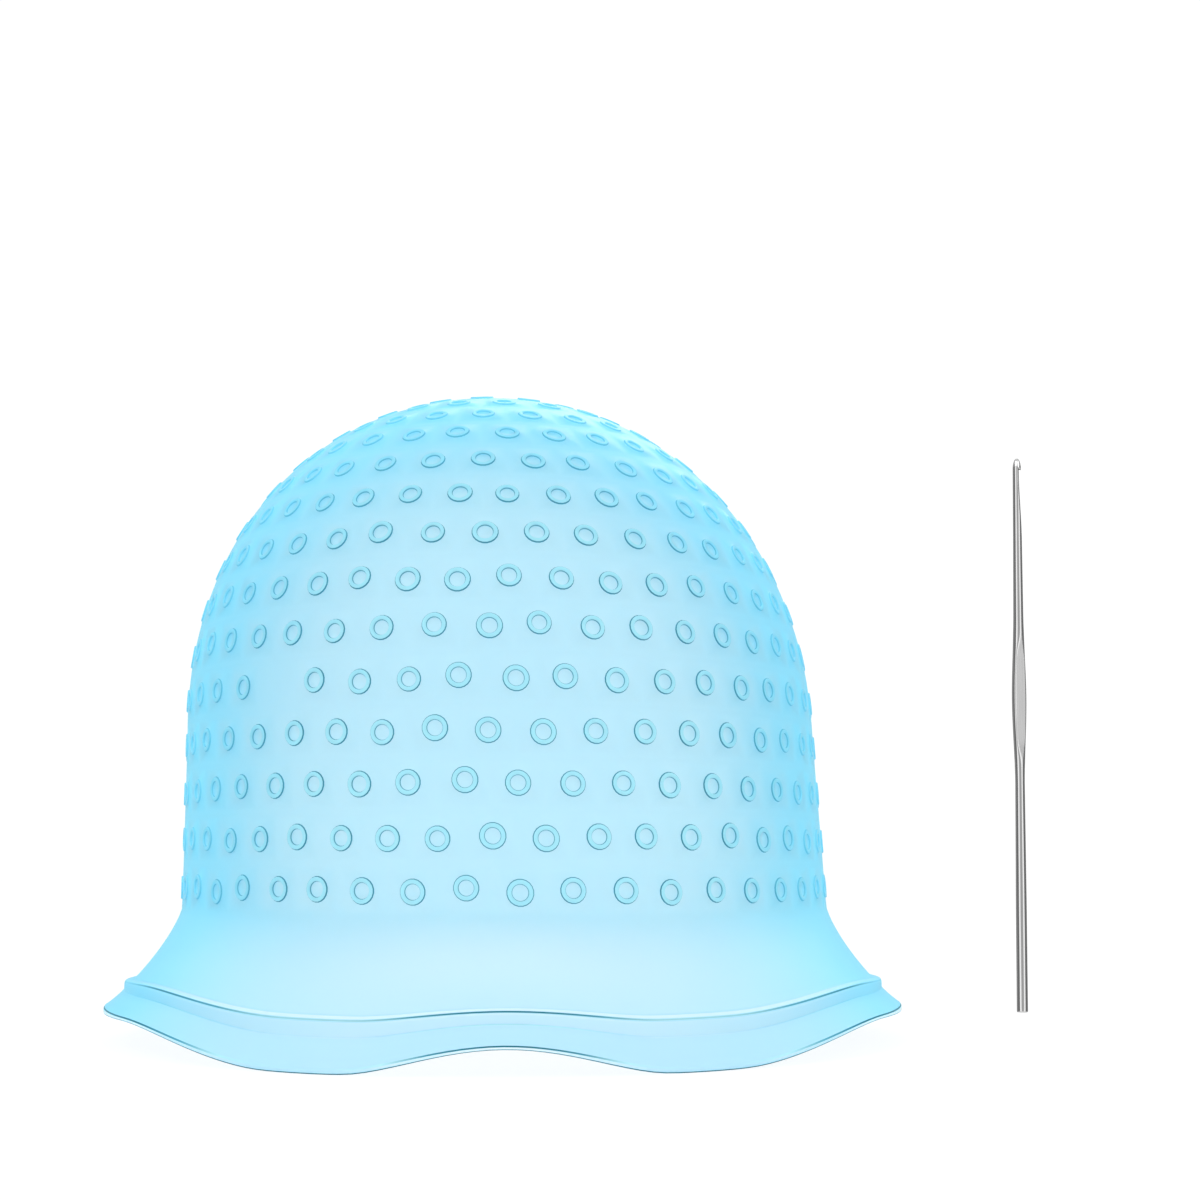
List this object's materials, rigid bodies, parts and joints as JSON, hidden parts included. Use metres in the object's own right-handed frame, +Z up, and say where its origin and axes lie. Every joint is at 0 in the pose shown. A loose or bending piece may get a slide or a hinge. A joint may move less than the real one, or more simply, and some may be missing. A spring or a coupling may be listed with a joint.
{
  "type": "highlighting cap",
  "caption": "Soft translucent silicone head cap with rounded crown, wavy flared brim and rows of small eyelets for pulling hair strands through, with a slim steel pull hook beside it.",
  "frame": {"origin": "centre of the whole set's footprint, on the surface that the cap and the hook stand on", "axes": "+Z up, the cap's front (forehead) faces -Y, and the hook stands on the +X side of the cap"},
  "size_m": [0.2686, 0.2294, 0.174],
  "materials": {
    "silicone": "translucent pale blue silicone, satin to glossy, soft",
    "hook_steel": "drawn and nickel-bright steel with fine lengthwise marks"
  },
  "bodies": {
    "cap": {"crown_shell": "silicone", "flared_skirt": "silicone", "brim_band": "silicone"},
    "hook": {"pull_hook": "hook_steel"}
  },
  "joints": [
    {"name": "hook_lift", "type": "slide", "parent": "cap", "child": "hook", "axis": [0, 0, 1], "range_m": [0, 0.2]}
  ]
}
